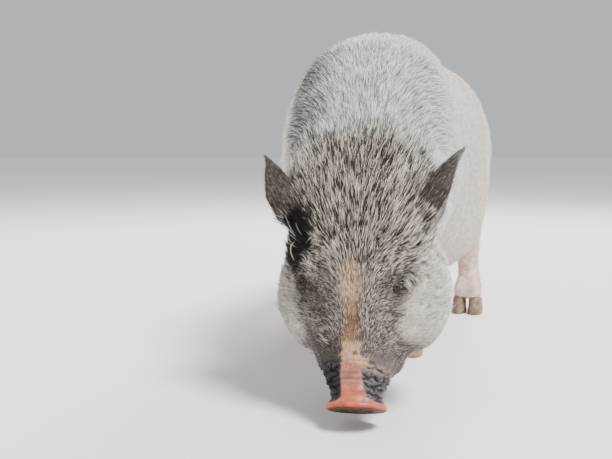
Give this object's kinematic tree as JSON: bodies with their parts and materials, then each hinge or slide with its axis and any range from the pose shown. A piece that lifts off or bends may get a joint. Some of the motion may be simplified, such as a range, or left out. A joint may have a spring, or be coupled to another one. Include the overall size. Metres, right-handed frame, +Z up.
{
  "type": "pot bellied pig",
  "caption": "Life-size still model of a pot bellied pig, standing with its head lowered to sniff the ground and its body bent to one side.",
  "frame": {"origin": "middle of the model's bounding box in plan, at the level of the soles on the floor", "axes": "+Z up; the pig faces -Y; +X is to the pig's left"},
  "size_m": [0.3492, 0.7118, 0.4165],
  "materials": {
    "eye_left": "wet dark brown eye",
    "eye_right": "wet dark brown eye",
    "ear_left": "thin skin with short dark hair",
    "ear_right": "thin skin with short dark hair",
    "hoof_outer_foreleg_left": "dull horn",
    "dewclaw_outer_foreleg_left": "dull horn",
    "hoof_inner_foreleg_left": "dull horn",
    "dewclaw_inner_foreleg_left": "dull horn",
    "hoof_outer_hindleg_left": "dull horn",
    "dewclaw_outer_hindleg_left": "dull horn",
    "hoof_inner_hindleg_left": "dull horn",
    "dewclaw_inner_hindleg_left": "dull horn",
    "hoof_outer_foreleg_right": "dull horn",
    "dewclaw_outer_foreleg_right": "dull horn",
    "hoof_inner_foreleg_right": "dull horn",
    "dewclaw_inner_foreleg_right": "dull horn",
    "hoof_outer_hindleg_right": "dull horn",
    "dewclaw_outer_hindleg_right": "dull horn",
    "hoof_inner_hindleg_right": "dull horn",
    "dewclaw_inner_hindleg_right": "dull horn",
    "foreleg_left": "sparse white hair over pink skin",
    "hindleg_left": "sparse white hair over pink skin",
    "foreleg_right": "sparse white hair over pink skin",
    "hindleg_right": "sparse white hair over pink skin",
    "head": "short salt and pepper bristles over grey skin",
    "neck": "salt and pepper bristles",
    "shoulders": "pale blue-grey bristles",
    "barrel": "cream white bristles",
    "rump": "cream white bristles",
    "lower_jaw": "pink and grey skin with sparse hair",
    "tail": "white hair with a longer brush at its end",
    "snout": "bare moist pink skin"
  },
  "bodies": {
    "root": {"eye_left": "eye_left", "eye_right": "eye_right", "ear_left": "ear_left", "ear_right": "ear_right", "hoof_outer_foreleg_left": "hoof_outer_foreleg_left", "dewclaw_outer_foreleg_left": "dewclaw_outer_foreleg_left", "hoof_inner_foreleg_left": "hoof_inner_foreleg_left", "dewclaw_inner_foreleg_left": "dewclaw_inner_foreleg_left", "hoof_outer_hindleg_left": "hoof_outer_hindleg_left", "dewclaw_outer_hindleg_left": "dewclaw_outer_hindleg_left", "hoof_inner_hindleg_left": "hoof_inner_hindleg_left", "dewclaw_inner_hindleg_left": "dewclaw_inner_hindleg_left", "hoof_outer_foreleg_right": "hoof_outer_foreleg_right", "dewclaw_outer_foreleg_right": "dewclaw_outer_foreleg_right", "hoof_inner_foreleg_right": "hoof_inner_foreleg_right", "dewclaw_inner_foreleg_right": "dewclaw_inner_foreleg_right", "hoof_outer_hindleg_right": "hoof_outer_hindleg_right", "dewclaw_outer_hindleg_right": "dewclaw_outer_hindleg_right", "hoof_inner_hindleg_right": "hoof_inner_hindleg_right", "dewclaw_inner_hindleg_right": "dewclaw_inner_hindleg_right", "foreleg_left": "foreleg_left", "hindleg_left": "hindleg_left", "foreleg_right": "foreleg_right", "hindleg_right": "hindleg_right", "head": "head", "neck": "neck", "shoulders": "shoulders", "barrel": "barrel", "rump": "rump", "lower_jaw": "lower_jaw", "tail": "tail", "snout": "snout"}
  },
  "joints": []
}
